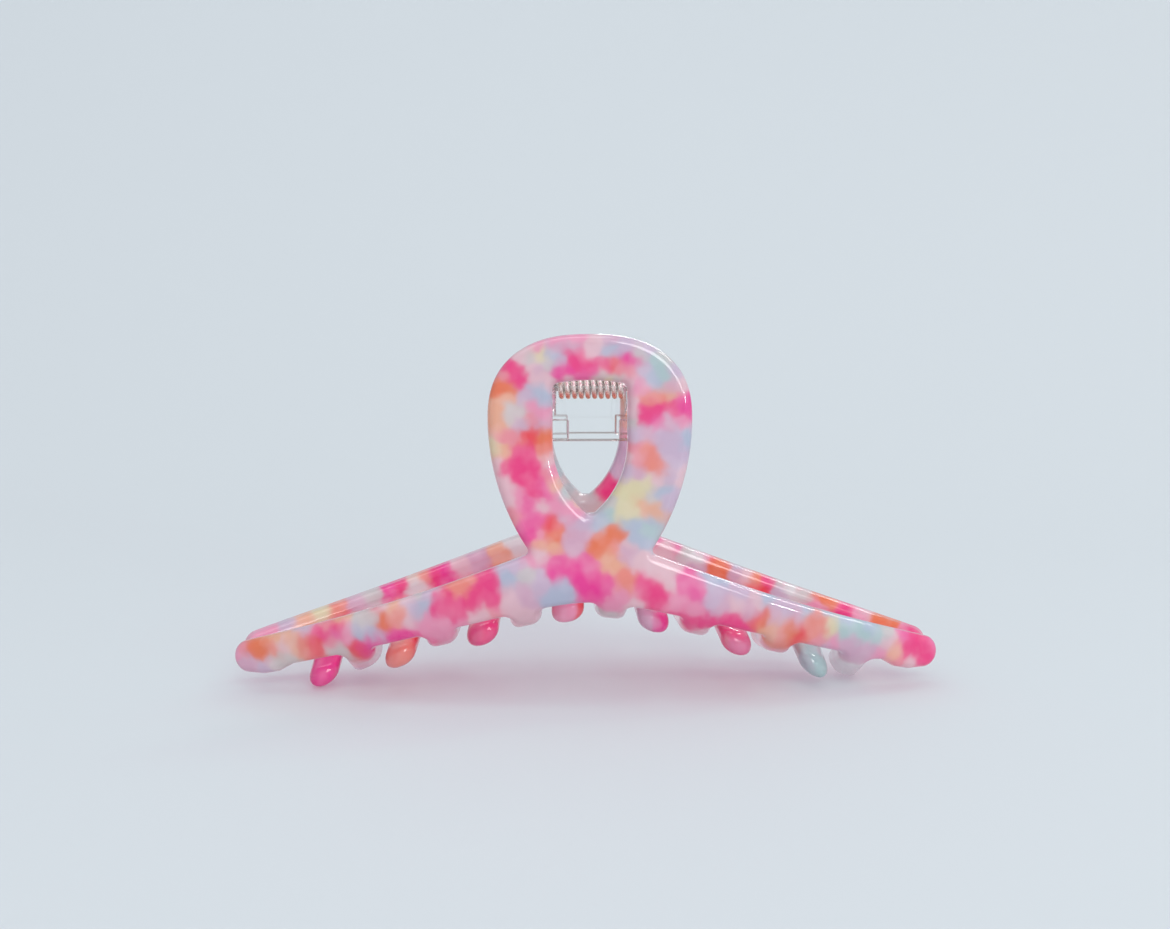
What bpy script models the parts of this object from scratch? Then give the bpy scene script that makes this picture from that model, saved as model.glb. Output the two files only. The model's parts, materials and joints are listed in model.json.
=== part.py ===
"""Claw clip: two looped acetate jaws, joined by clear brackets, a hinge pin and a torsion spring.

Frame: metres, +Z up, +X along the jaws, +Y towards the rear jaw. The origin is on the ground, under the
middle of the closed clip. Each jaw is cut flat from sheet, then formed: its arms are bowed in plan and its
teeth are curled in. "u" runs along the flat sheet, "v" up it and "w" through it, towards the outer face.
The rear jaw is the front one turned half a turn about Z, so that its teeth fall in the front jaw's gaps.
"""

import math

import bmesh
import bpy
from mathutils import Matrix, Vector

MM = 0.001

# Sheet and its forming
SHEET = 4.0 * MM
EDGE_ROUND = 1.2 * MM
EDGE_STEPS = 2
MID_DEPTH = 11.4 * MM  # from the clip's middle plane to the middle of the sheet, at the neck
LEAN = 0.06  # how far the loop leans in, for each unit of height
FLAT_HALF = 6.0 * MM  # the sheet stays flat this far to each side of the middle, then bows
BOW_RADIUS = 120.0 * MM
BOW_FADE = (24.5 * MM, 29.0 * MM)  # heights between which the bow fades out, so that the loop is flat
CURL_RADIUS = 6.0 * MM
CURL_FADE = (43.5 * MM, 53.0 * MM)  # along the arms, where the curl gives way to a flat end
CURL_LEFT = 0.15  # share of the curl left at the ends
CURL_CUTS = (0, 17, 34, 51, 68, 86)  # degrees round the curl where the mesh is cut across
BOW_CUTS = 8.0 * MM  # between the cuts across the arms

# Arms: an arched lower edge, a straight upper edge and a round end
ARCH_HEIGHT = 20.4 * MM  # height where the curl starts, at the middle
ARCH_FALL = 0.27
ARCH_BLEND = 7.0 * MM
LIP = 4.8 * MM  # how far the arm's curled lower edge reaches past the curl's start
ARM_TOP = 25.9 * MM  # height of the upper edge's line, at the middle
ARM_FALL = 0.329
ARM_SAG = 0.7 * MM  # how far the upper edge dips below that line, midway
END_U, END_V, END_RADIUS = 53.9 * MM, 5.55 * MM, 2.5 * MM
PADDLE = ((51.0 * MM, 3.1 * MM), (48.3 * MM, 3.75 * MM), (46.0 * MM, 5.1 * MM))

# Teeth
TOOTH_COUNT = 7
TOOTH_PITCH = 12.85 * MM
TOOTH_HALF = 2.45 * MM
TOOTH_TURN = math.radians(89.5)  # how far the sheet has curled where a tooth at the middle runs straight
TOOTH_TURN_FALL = math.radians(0.37) / MM  # less of it, for each unit along the arm
END_DROOP = math.radians(11.6)  # less again, at the end teeth
DROOP_FROM = (28.0 * MM, 42.0 * MM)
TOOTH_SPLAY = 0.0013 / MM  # how far the teeth spread along X, for each unit they reach in
TOOTH_SHORT = 4.4 * MM  # how far a tooth stops short of the other jaw's outer face
ROOT_FILLET = 0.9 * MM

# Loop and its hole
NECK_HEIGHT = 22.9 * MM
NECK_FILLET = 0.8 * MM
LOOP_HALF = 15.2 * MM
LOOP_MID = 43.0 * MM
LOOP_RISE = 12.5 * MM
LOOP_SQUARENESS = 2.4
LOOP_SIDE_RADIUS = 35.0 * MM
HOLE_HALF = 5.55 * MM
HOLE_TOP = 48.3 * MM
HOLE_CORNER = 1.0 * MM
HOLE_SIDE_FOOT = 39.5 * MM
HOLE_SIDE_RADIUS = 13.7 * MM
HOLE_TIP_HALF = 0.6 * MM

# Hinge
AXIS_HEIGHT = 47.4 * MM
HINGE_MID_X = 0.55 * MM
PIN_RADIUS = 0.8 * MM
PIN_HALF = 9.0 * MM
PIN_DOME = 0.3 * MM
BORE_RADIUS = 0.88 * MM
KNUCKLE_RADIUS = 2.3 * MM
BOND_GAP = 0.3 * MM
PLATE = 1.6 * MM
PLATE_HALF = 9.3 * MM
PLATE_ABOVE = 2.5 * MM  # from the axis to the plate's top edge
PLATE_BELOW = 8.0 * MM  # from the axis to the plate's bottom edge
EAR_BELOW = 6.0 * MM
EAR_WRAP = math.radians(20)  # how far the knuckle's round goes on under the ear
TONGUE_EAR = (5.5 * MM, 6.9 * MM)  # inner and outer faces, from the hinge's middle
FORK_EAR = (7.1 * MM, 8.7 * MM)
FOOT_HEIGHT = 3.2 * MM
FOOT_STANDS = 1.3 * MM  # how far a foot stands in from the plate
FOOT_ENDS = (-3.1 * MM, 4.5 * MM)  # where the left and right feet end, towards the middle

# Spring
WIRE_RADIUS = 0.4 * MM
COIL_RADIUS = 1.65 * MM
COIL_TURNS = 9.5
COIL_HALF = 4.9 * MM
LEG_RISE = 5.6 * MM  # the legs' ends above the axis
LEG_FLAT = 1.6 * MM  # the length of leg that lies along the sheet
LEG_FOOT = (0.5 * MM, 1.2 * MM)  # where a leg leaves the coil: outside it and above the axis

ROUND_STEPS = 20


def clear_scene():
    for obj in list(bpy.data.objects):
        bpy.data.objects.remove(obj, do_unlink=True)


def material(name, colour, roughness, metallic=0.0, alpha=1.0):
    made = bpy.data.materials.new(name)
    made.use_nodes = True
    shader = made.node_tree.nodes["Principled BSDF"]
    shader.inputs["Base Color"].default_value = (*colour, 1.0)
    shader.inputs["Roughness"].default_value = roughness
    shader.inputs["Metallic"].default_value = metallic
    shader.inputs["Alpha"].default_value = alpha
    return made


def add_object(name, bm, finish, parent=None):
    """Makes the object of a mesh given in world space. Its origin is its parent's, when it has one."""
    bmesh.ops.recalc_face_normals(bm, faces=bm.faces)
    mesh = bpy.data.meshes.new(name)
    bm.to_mesh(mesh)
    bm.free()
    mesh.materials.append(finish)
    mesh.shade_smooth()
    mesh.set_sharp_from_angle(angle=math.radians(35))
    obj = bpy.data.objects.new(name, mesh)
    bpy.context.scene.collection.objects.link(obj)
    if parent:
        mesh.transform(Matrix.Translation(-parent.location))
        obj.parent = parent
    return obj


# The flat outline


def curl_line(u):
    """Height on the flat sheet where the curl starts. It runs along the arms, parallel to their lower edge."""
    return ARCH_HEIGHT - ARCH_FALL * (math.hypot(u, ARCH_BLEND) - ARCH_BLEND)


def lower_edge(u):
    return curl_line(u) - LIP


def arc(centre, radius, start, end, steps):
    """Points on an arc, both ends included. Angles are in degrees."""
    turns = (math.radians(start + (end - start) * i / steps) for i in range(steps + 1))
    return [centre + radius * Vector((math.cos(t), math.sin(t))) for t in turns]


def filleted(before, corner, after, radius, steps):
    """Points of a round corner, from the line that comes in to the line that goes out."""
    back, on = (before - corner).normalized(), (after - corner).normalized()
    half = back.angle(on) / 2
    centre = corner + (back + on).normalized() * radius / math.sin(half)
    first, last = (corner + way * radius / math.tan(half) - centre for way in (back, on))
    turn = first.angle_signed(last)
    return [centre + Matrix.Rotation(-turn * i / steps, 2) @ first for i in range(steps + 1)]


def tooth_turn(u):
    return TOOTH_TURN - TOOTH_TURN_FALL * abs(u) - END_DROOP * smooth_share(abs(u), *DROOP_FROM)


def tooth_length(u):
    """Length of a tooth on the flat sheet, from the curl's start to its tip."""
    turn, lean = tooth_turn(u), math.atan(LEAN)
    bowed = bow(u)[1]
    depth = sheet_depth(curl_line(u)) - bowed
    reach = MID_DEPTH + SHEET / 2 - bowed - TOOTH_SHORT
    inward = CURL_RADIUS * (math.cos(lean) - math.cos(turn))
    return CURL_RADIUS * (turn + lean) + (reach + depth - inward) / math.sin(turn)


def tooth(centre):
    """The outline of one tooth, from its right root to its left one."""
    tip_mid = curl_line(centre) - tooth_length(centre) + TOOTH_HALF
    points = []
    for side in (1, -1):
        root = Vector((centre + side * TOOTH_HALF, lower_edge(centre + side * TOOTH_HALF)))
        out = Vector((root.x + side * MM, lower_edge(root.x + side * MM)))
        down = Vector((root.x, tip_mid))
        ends = (out, down) if side > 0 else (down, out)
        points.append(filleted(ends[0], root, ends[1], ROOT_FILLET, 2))
    round_end = arc(Vector((centre, tip_mid)), TOOTH_HALF, 0, -180, 6)
    return points[0] + round_end + points[1]


def jaw_outline():
    """The jaw's outer edge on the flat sheet, clockwise from the right side of its neck."""
    neck_u = LOOP_HALF - LOOP_SIDE_RADIUS + math.sqrt(LOOP_SIDE_RADIUS**2 - (LOOP_MID - NECK_HEIGHT) ** 2)
    neck_turn = math.degrees(math.asin((LOOP_MID - NECK_HEIGHT) / LOOP_SIDE_RADIUS))
    side_mid = Vector((LOOP_HALF - LOOP_SIDE_RADIUS, LOOP_MID))
    side = arc(side_mid, LOOP_SIDE_RADIUS, 0, -neck_turn, 6)
    top = []
    for i in range(1, 9):
        turn = math.pi / 2 * (1 - i / 9)
        power = 2 / LOOP_SQUARENESS
        top.append(Vector((LOOP_HALF * math.cos(turn) ** power, LOOP_MID + LOOP_RISE * math.sin(turn) ** power)))
    arm_turn = math.degrees(math.atan(ARM_FALL))
    end = arc(Vector((END_U, END_V)), END_RADIUS, 90 - arm_turn, -90, 6)
    arm = []
    for i in range(8):
        u = neck_u + (END_U - neck_u) * i / 7
        arm.append(Vector((u, ARM_TOP - ARM_FALL * u - ARM_SAG * math.sin(math.pi * i / 7))))
    corner = filleted(side[-2], arm[0], arm[1], NECK_FILLET, 2)
    right_top = top + side[:-1] + corner + arm[1:-1] + end
    paddle = [Vector(point) for point in PADDLE]
    left_top = [Vector((-p.x, p.y)) for p in reversed(right_top)]
    crown = [Vector((0.0, LOOP_MID + LOOP_RISE))]
    return crown + right_top + paddle + teeth_edge() + mirrored(paddle) + left_top


def mirrored(points):
    return [Vector((-p.x, p.y)) for p in reversed(points)]


def teeth_edge():
    """The lower edge between the two paddle ends, right to left. The teeth sit a quarter pitch off the middle."""
    first = TOOTH_COUNT // 2
    points = []
    for i in range(first, first - TOOTH_COUNT, -1):
        points += tooth(TOOTH_PITCH * (i + 0.25))
    return points


def jaw_hole():
    """The loop's hole on the flat sheet: square at the top, pointed at the foot."""
    side_mid = Vector((HOLE_HALF - HOLE_SIDE_RADIUS, HOLE_SIDE_FOOT))
    tip_turn = math.degrees(math.acos((HOLE_SIDE_RADIUS - HOLE_HALF + HOLE_TIP_HALF) / HOLE_SIDE_RADIUS))
    right = arc(Vector((HOLE_HALF - HOLE_CORNER, HOLE_TOP - HOLE_CORNER)), HOLE_CORNER, 90, 0, 2)
    right += arc(side_mid, HOLE_SIDE_RADIUS, 0, -tip_turn, 6)
    return right + mirrored(right)


def inset(points, by):
    """The closed outline moved towards its right-hand side as it is walked."""
    moved = []
    for before, here, after in zip(points[-1:] + points[:-1], points, points[1:] + points[:1]):
        ways = [(here - before).normalized(), (after - here).normalized()]
        normals = [Vector((way.y, -way.x)) for way in ways]
        middle = (normals[0] + normals[1]).normalized()
        moved.append(here + middle * by / middle.dot(normals[0]))
    return moved


def flat_jaw():
    """The flat jaw with round edges, in sheet coordinates: u, v and w."""
    levels = []
    for i in range(EDGE_STEPS + 1):
        turn = math.pi / 2 * i / EDGE_STEPS
        w = SHEET / 2 - EDGE_ROUND * (1 - math.cos(turn))
        levels.append((EDGE_ROUND * (1 - math.sin(turn)), w))
    levels += [(by, -w) for by, w in reversed(levels)]
    bm = bmesh.new()
    caps = {0: [], len(levels) - 1: []}
    for outline, way in ((jaw_outline(), 1), (jaw_hole(), -1)):
        rings = []
        for by, w in levels:
            rings.append([bm.verts.new((p.x, p.y, w)) for p in inset(outline, by * way)])
        for upper, lower in zip(rings, rings[1:]):
            for i in range(len(upper)):
                bm.faces.new((upper[i - 1], upper[i], lower[i], lower[i - 1]))
        for level in caps:
            ring = rings[level]
            caps[level] += [bm.edges.get((ring[i - 1], ring[i])) for i in range(len(ring))]
    for edges in caps.values():
        bmesh.ops.triangle_fill(bm, edges=edges, use_beauty=True)
    return bm


# Forming


def smooth_share(value, low, high):
    t = min(1.0, max(0.0, (value - low) / (high - low)))
    return t * t * (3 - 2 * t)


def bow(u):
    """Where the bow takes a point of the arm: (x, how far in it moves, the sheet's turn there)."""
    turn = max(0.0, abs(u) - FLAT_HALF) / BOW_RADIUS
    x = min(abs(u), FLAT_HALF) + BOW_RADIUS * math.sin(turn)
    return math.copysign(x, u), BOW_RADIUS * (1 - math.cos(turn)), math.copysign(turn, u)


def sheet_depth(v):
    """Distance from the middle plane to the middle of the sheet, above the curl."""
    return MID_DEPTH - LEAN * (v - NECK_HEIGHT)


def formed(u, v, w):
    """Where a point of the flat sheet ends up on the front jaw."""
    lean, start = math.atan(LEAN), curl_line(u)
    depth, z, turn = sheet_depth(v), v, -lean
    if v < start:
        share = 1 - (1 - CURL_LEFT) * smooth_share(abs(u), *CURL_FADE)
        radius = CURL_RADIUS / share
        run = start - v
        full = radius * (tooth_turn(u) + lean)
        turn = min(run, full) / radius - lean
        straight = max(0.0, run - full)
        depth = sheet_depth(start) - radius * (math.cos(lean) - math.cos(turn)) - straight * math.sin(turn)
        z = start - radius * (math.sin(turn) + math.sin(lean)) - straight * math.cos(turn)
    x, inward, swing = bow(u)
    fade = 1 - smooth_share(v, *BOW_FADE)
    x = u + (x - u) * fade + x * TOOTH_SPLAY * max(0.0, sheet_depth(start) - depth)
    out = depth - inward * fade + w * math.cos(turn) * math.cos(swing * fade)
    return Vector((x + w * math.cos(turn) * math.sin(swing * fade), -out, z - w * math.sin(turn)))


def cut_for_bending(bm):
    """Adds edges across the flat jaw where it bends: along the arms, and across the curl."""
    for vert in bm.verts:
        vert.co.y -= curl_line(vert.co.x)
    curl_steps = [-CURL_RADIUS * math.radians(t) for t in CURL_CUTS]
    arm_steps = [side * (FLAT_HALF + i * BOW_CUTS) for side in (-1, 1) for i in range(7)]
    cuts = [((0, y, 0), (0, 1, 0)) for y in curl_steps] + [((x, 0, 0), (1, 0, 0)) for x in arm_steps]
    for point, normal in cuts:
        geom = list(bm.verts) + list(bm.edges) + list(bm.faces)
        bmesh.ops.bisect_plane(bm, geom=geom, dist=1e-6, plane_co=point, plane_no=normal)
    for vert in bm.verts:
        vert.co.y += curl_line(vert.co.x)
    bmesh.ops.triangulate(bm, faces=bm.faces)


def make_jaws(finish, rear_pivot):
    bm = flat_jaw()
    cut_for_bending(bm)
    for vert in bm.verts:
        vert.co = formed(*vert.co)
    rear = bm.copy()
    bmesh.ops.rotate(rear, verts=rear.verts, cent=(0, 0, 0), matrix=Matrix.Rotation(math.pi, 3, "Z"))
    add_object("front_jaw", bm, finish)
    add_object("rear_jaw", rear, finish, rear_pivot)


# Hinge


def prism(bm, profile, left, right):
    """A solid of constant section along X. The profile is a list of (y, z) points."""
    ends = [[bm.verts.new((x, y, z)) for y, z in profile] for x in (left, right)]
    count = len(profile)
    for i in range(count):
        bm.faces.new((ends[0][i - 1], ends[0][i], ends[1][i], ends[1][i - 1]))
    bm.faces.new(ends[0])
    bm.faces.new(reversed(ends[1]))


def sheet_inside(z):
    """Distance from the hinge axis's plane to the sheet's inner face, at a height."""
    return sheet_depth(z) - SHEET / 2 * math.sqrt(1 + LEAN**2)


def plate_profile(side, near, far, low, high):
    """A slab along the sheet: near and far are its faces' distances from the sheet's inner face."""
    corners = ((near, low), (near, high), (far, high), (far, low))
    return [(side * (sheet_inside(z) - gap), z) for gap, z in corners]


def ear_profile(side, low, high):
    """An ear's side view: the knuckle's round end, widening to the plate."""
    back = BOND_GAP + PLATE / 2
    top = (side * (sheet_inside(high) - back), high)
    bottom = (side * (sheet_inside(low) - back), low)
    lean_down = math.atan2(bottom[1] - AXIS_HEIGHT, side * bottom[0])
    start, end = math.pi / 2, 3 * math.pi / 2 + lean_down + EAR_WRAP
    knuckle = []
    for i in range(ROUND_STEPS // 2 + 1):
        turn = start + (end - start) * i / (ROUND_STEPS // 2)
        knuckle.append((side * KNUCKLE_RADIUS * math.cos(turn), AXIS_HEIGHT + KNUCKLE_RADIUS * math.sin(turn)))
    return [top] + knuckle + [bottom]


def joined(name, pieces, cutters, finish, parent=None):
    """One object from overlapping solids, with the cutters taken away."""
    body = add_object(name, pieces[0], finish)
    tools = [(made, "UNION") for made in pieces[1:]] + [(made, "DIFFERENCE") for made in cutters]
    for i, (made, operation) in enumerate(tools):
        tool = add_object(f"{name}_tool_{i}", made, finish)
        cut = body.modifiers.new(f"cut_{i}", "BOOLEAN")
        cut.operation = operation
        cut.object = tool
        tool.hide_render = True
        tool.display_type = "WIRE"
    if parent:
        for obj in [body] + [m.object for m in body.modifiers]:
            obj.data.transform(Matrix.Translation(-parent.location))
            obj.parent = parent
    return body


def make_bracket(name, side, ear, finish, parent=None):
    """A clear bracket: a plate bonded to the jaw, two feet at its lower corners and two eared knuckles."""
    low, high = AXIS_HEIGHT - PLATE_BELOW, AXIS_HEIGHT + PLATE_ABOVE
    left, right = HINGE_MID_X - PLATE_HALF, HINGE_MID_X + PLATE_HALF
    plate = bmesh.new()
    prism(plate, plate_profile(side, BOND_GAP, BOND_GAP + PLATE, low, high), left, right)
    pieces = [plate]
    for a, b in ((left, FOOT_ENDS[0]), (FOOT_ENDS[1], right)):
        foot = bmesh.new()
        slab = plate_profile(side, BOND_GAP + PLATE / 2, BOND_GAP + PLATE + FOOT_STANDS, low, low + FOOT_HEIGHT)
        prism(foot, slab, a, b)
        pieces.append(foot)
    for way in (-1, 1):
        a, b = sorted(HINGE_MID_X + way * face for face in ear)
        knuckle = bmesh.new()
        prism(knuckle, ear_profile(side, AXIS_HEIGHT - EAR_BELOW, AXIS_HEIGHT + KNUCKLE_RADIUS), a, b)
        pieces.append(knuckle)
    bore = bmesh.new()
    prism(bore, circle(BORE_RADIUS), left - MM, right + MM)
    for piece in pieces + [bore]:
        bmesh.ops.recalc_face_normals(piece, faces=piece.faces)
    return joined(name, pieces, [bore], finish, parent)


def circle(radius):
    """Points (y, z) on a circle round the hinge axis."""
    turns = [2 * math.pi * i / ROUND_STEPS for i in range(ROUND_STEPS)]
    return [(radius * math.cos(t), AXIS_HEIGHT + radius * math.sin(t)) for t in turns]


def make_pin(finish):
    """A plain pin with eased ends."""
    rings = []
    for x, radius in ((-PIN_HALF, PIN_RADIUS - PIN_DOME), (PIN_DOME - PIN_HALF, PIN_RADIUS)):
        rings.append((HINGE_MID_X + x, radius))
    rings += [(2 * HINGE_MID_X - x, radius) for x, radius in reversed(rings)]
    bm = bmesh.new()
    loops = [[bm.verts.new((x, y, z)) for y, z in circle(radius)] for x, radius in rings]
    for a, b in zip(loops, loops[1:]):
        for i in range(ROUND_STEPS):
            bm.faces.new((a[i - 1], a[i], b[i], b[i - 1]))
    bm.faces.new(loops[0])
    bm.faces.new(reversed(loops[-1]))
    add_object("hinge_pin", bm, finish)


def spring_path():
    """Centre line of the wire: front leg, coil, rear leg. The coil turns down at the front and up at the rear."""
    contact = sheet_inside(AXIS_HEIGHT + LEG_RISE) - BOND_GAP - WIRE_RADIUS
    left, right = HINGE_MID_X - COIL_HALF, HINGE_MID_X + COIL_HALF
    tip = Vector((left, -contact, AXIS_HEIGHT + LEG_RISE))
    knee = tip + Vector((0, -LEAN, -1)).normalized() * LEG_FLAT
    leg = [tip, knee, Vector((left, -COIL_RADIUS - LEG_FOOT[0], AXIS_HEIGHT + LEG_FOOT[1]))]
    steps = int(COIL_TURNS * 12)
    coil = []
    for i in range(steps + 1):
        turn = math.pi + 2 * math.pi * COIL_TURNS * i / steps
        x = left + (right - left) * i / steps
        coil.append(Vector((x, COIL_RADIUS * math.cos(turn), AXIS_HEIGHT + COIL_RADIUS * math.sin(turn))))
    other = [Vector((2 * HINGE_MID_X - p.x, -p.y, p.z)) for p in reversed(leg)]
    return leg + coil + other


def make_spring(finish):
    """Sweeps the wire's round section along the path."""
    path, sides = spring_path(), 6
    ways = [(b - a).normalized() for a, b in zip(path, path[1:])]
    ways = [ways[0]] + [(a + b).normalized() for a, b in zip(ways, ways[1:])] + [ways[-1]]
    across = ways[0].orthogonal().normalized()
    bm = bmesh.new()
    rings = []
    for i, (point, way) in enumerate(zip(path, ways)):
        if i:
            across.rotate(ways[i - 1].rotation_difference(way))
        ring = []
        for k in range(sides):
            arm = Matrix.Rotation(2 * math.pi * k / sides, 3, way) @ across
            ring.append(bm.verts.new(point + arm * WIRE_RADIUS))
        rings.append(ring)
    for a, b in zip(rings, rings[1:]):
        for k in range(sides):
            bm.faces.new((a[k - 1], a[k], b[k], b[k - 1]))
    bm.faces.new(rings[0])
    bm.faces.new(reversed(rings[-1]))
    add_object("torsion_spring", bm, finish)


def main():
    clear_scene()
    acetate = material("acetate", (0.93, 0.45, 0.62), 0.12)
    clear = material("clear_plastic", (0.9, 0.93, 0.93), 0.08, alpha=0.35)
    steel = material("steel", (0.62, 0.6, 0.58), 0.3, metallic=1.0)
    copper = material("copper_plate", (0.85, 0.5, 0.35), 0.25, metallic=1.0)
    rear_pivot = bpy.data.objects.new("rear_pivot", None)
    rear_pivot.location = (HINGE_MID_X, 0, AXIS_HEIGHT)
    bpy.context.scene.collection.objects.link(rear_pivot)
    make_jaws(acetate, rear_pivot)
    make_bracket("front_bracket", -1, FORK_EAR, clear)
    make_bracket("rear_bracket", 1, TONGUE_EAR, clear, rear_pivot)
    make_pin(steel)
    make_spring(copper)


main()
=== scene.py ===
import json
import math

import bmesh
import bpy
from mathutils import Matrix, Vector


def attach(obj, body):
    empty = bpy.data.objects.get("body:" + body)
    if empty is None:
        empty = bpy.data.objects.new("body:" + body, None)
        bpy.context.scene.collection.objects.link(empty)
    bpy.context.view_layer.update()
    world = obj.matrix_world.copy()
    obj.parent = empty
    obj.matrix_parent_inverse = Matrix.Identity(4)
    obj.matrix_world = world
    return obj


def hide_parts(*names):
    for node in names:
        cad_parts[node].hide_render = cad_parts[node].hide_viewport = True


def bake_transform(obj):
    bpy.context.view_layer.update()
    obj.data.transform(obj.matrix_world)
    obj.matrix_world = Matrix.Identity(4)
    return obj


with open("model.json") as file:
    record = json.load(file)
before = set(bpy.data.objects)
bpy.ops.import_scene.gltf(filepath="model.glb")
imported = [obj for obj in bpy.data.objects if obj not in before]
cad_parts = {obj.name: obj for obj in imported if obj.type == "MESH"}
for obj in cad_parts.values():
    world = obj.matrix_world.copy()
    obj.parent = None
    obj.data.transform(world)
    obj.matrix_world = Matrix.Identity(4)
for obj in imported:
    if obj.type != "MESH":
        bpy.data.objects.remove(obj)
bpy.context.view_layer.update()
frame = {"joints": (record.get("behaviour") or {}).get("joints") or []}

MM = 0.001

# Sheet and its forming. "u" runs along the flat sheet, "v" up it and "w" through it, outwards.
SHEET = 4.0 * MM
EDGE_ROUND = 1.5 * MM
TOOTH_ROUND = 1.85 * MM
EDGE_FADE = 2.0 * MM
EDGE_STEPS = 6
MID_DEPTH = 11.4 * MM  # of the sheet's middle, at the neck
LEAN = 0.06  # towards the middle, per unit of height
FLAT_HALF = 6.0 * MM
BOW_RADIUS = 120.0 * MM
BOW_FADE = (24.5 * MM, 29.0 * MM)
CURL_RADIUS = 6.0 * MM
CURL_FADE = (43.5 * MM, 53.0 * MM)
CURL_LEFT = 0.15  # of the curl, at the arms' ends

# Arms
ARCH_HEIGHT = 20.4 * MM
ARCH_FALL = 0.27
ARCH_BLEND = 7.0 * MM
LIP = 4.8 * MM
ARM_TOP = 25.9 * MM
ARM_FALL = 0.329
ARM_SAG = 0.7 * MM
END_U = 53.9 * MM
END_V = 5.55 * MM
END_RADIUS = 2.5 * MM
PADDLE = ((51.0 * MM, 3.1 * MM), (48.3 * MM, 3.75 * MM), (46.0 * MM, 5.1 * MM))

# Teeth
TOOTH_COUNT = 7
TOOTH_PITCH = 12.85 * MM
TEETH_OFFSET = 0.25  # of a pitch off the middle, so that the two jaws' teeth interlace
TOOTH_HALF = 2.45 * MM
TOOTH_TURN = math.radians(89.5)
TOOTH_TURN_FALL = math.radians(0.37) / MM
END_DROOP = math.radians(11.6)
DROOP_FROM = (28.0 * MM, 42.0 * MM)
TOOTH_SPLAY = 0.0013 / MM
TOOTH_SHORT = 4.4 * MM
ROOT_FILLET = 0.9 * MM

# Loop and its hole
NECK_HEIGHT = 22.9 * MM
NECK_FILLET = 0.8 * MM
LOOP_HALF = 15.2 * MM
LOOP_MID = 43.0 * MM
LOOP_RISE = 12.5 * MM
LOOP_SQUARENESS = 2.4
LOOP_SIDE_RADIUS = 35.0 * MM
HOLE_HALF = 5.55 * MM
HOLE_TOP = 48.3 * MM
HOLE_CORNER = 1.0 * MM
HOLE_SIDE_FOOT = 39.5 * MM
HOLE_SIDE_RADIUS = 13.7 * MM
HOLE_TIP_HALF = 0.6 * MM

# Hinge
HINGE = Vector(frame["joints"][0]["pos_m"])
PIN_RADIUS = 0.8 * MM
PIN_HALF = 9.0 * MM
PIN_DOME = 0.3 * MM
BORE_RADIUS = 0.88 * MM
KNUCKLE_RADIUS = 2.3 * MM
BOND_GAP = 0.3 * MM
PLATE = 1.6 * MM
PLATE_HALF = 9.3 * MM
PLATE_ABOVE = 2.5 * MM
PLATE_BELOW = 8.0 * MM
EAR_BELOW = 6.0 * MM
EAR_WRAP = math.radians(20)
TONGUE_EAR = (5.5 * MM, 6.9 * MM)
FORK_EAR = (7.1 * MM, 8.7 * MM)
FOOT_HEIGHT = 3.2 * MM
FOOT_STANDS = 1.3 * MM
FOOT_ENDS = (-3.1 * MM, 4.5 * MM)
BRACKET_ROUND = 0.3 * MM

# Spring
WIRE_RADIUS = 0.4 * MM
COIL_RADIUS = 1.65 * MM
COIL_TURNS = 9.5
COIL_HALF = 4.9 * MM
LEG_RISE = 5.6 * MM
LEG_FLAT = 1.6 * MM
LEG_FOOT = (0.5 * MM, 1.2 * MM)

# Fineness: the number of straight pieces in each round shape, and the cuts that let the sheet bend
ROUND_STEPS = 64
LOOP_STEPS = 30
ARM_STEPS = 28
SIDE_STEPS = 16
END_STEPS = 18
TIP_STEPS = 20
CORNER_STEPS = 6
DOME_STEPS = 5
COIL_STEPS = 32
WIRE_SIDES = 14
CURL_CUT = 0.9 * MM
CURL_CUTS = 26
BOW_CUT = 1.5 * MM
BOW_CUTS = 36
CUTS_ABOVE = 8
TINY = 1e-6  # m: a step or distance that counts as none
CREASE = math.radians(30)  # edges of a bracket's blocks turning by more than this are rounded
SHARP = math.radians(40)  # edges turning by more than this stay sharp in the shading
WIRE_SHARP = math.radians(50)

# Stage, in metres
FLOOR_HALF = 8.0
FLOOR_FLAT_TO = 0.12
SWEEP_RADIUS = 1.6
SWEEP_STEPS = 48

# Camera
CAMERA_LENS = 38.25  # mm
CAMERA_DISTANCE = 0.195
CAMERA_HEIGHT = 0.0553
CAMERA_LEFT = 0.45 * MM
CAMERA_PITCH = math.radians(5.93)
CAMERA_TURN = math.radians(1.7)


# ---------------------------------------------------------------- flat outline


def curl_line(u):
    """The height on the flat sheet below which the jaw curls inwards."""
    return ARCH_HEIGHT - ARCH_FALL * (math.hypot(u, ARCH_BLEND) - ARCH_BLEND)


def lower_edge(u):
    """The height of the jaw's lower edge between its teeth."""
    return curl_line(u) - LIP


def arc(centre, radius, start, end, steps):
    """Points on an arc, both ends included. Angles are in degrees."""
    turns = (math.radians(start + (end - start) * i / steps) for i in range(steps + 1))
    return [centre + radius * Vector((math.cos(t), math.sin(t))) for t in turns]


def filleted(before, corner, after, radius, steps):
    """Points of a round corner, from the line that comes in to the line that goes out."""
    back, on = (before - corner).normalized(), (after - corner).normalized()
    half = back.angle(on) / 2
    centre = corner + (back + on).normalized() * radius / math.sin(half)
    first, last = (corner + way * radius / math.tan(half) - centre for way in (back, on))
    turn = first.angle_signed(last)
    return [centre + Matrix.Rotation(-turn * i / steps, 2) @ first for i in range(steps + 1)]


def tooth_turn(u):
    """How far a tooth turns inwards from upright, less towards the ends of the jaw."""
    return TOOTH_TURN - TOOTH_TURN_FALL * abs(u) - END_DROOP * smooth_share(abs(u), *DROOP_FROM)


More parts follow.
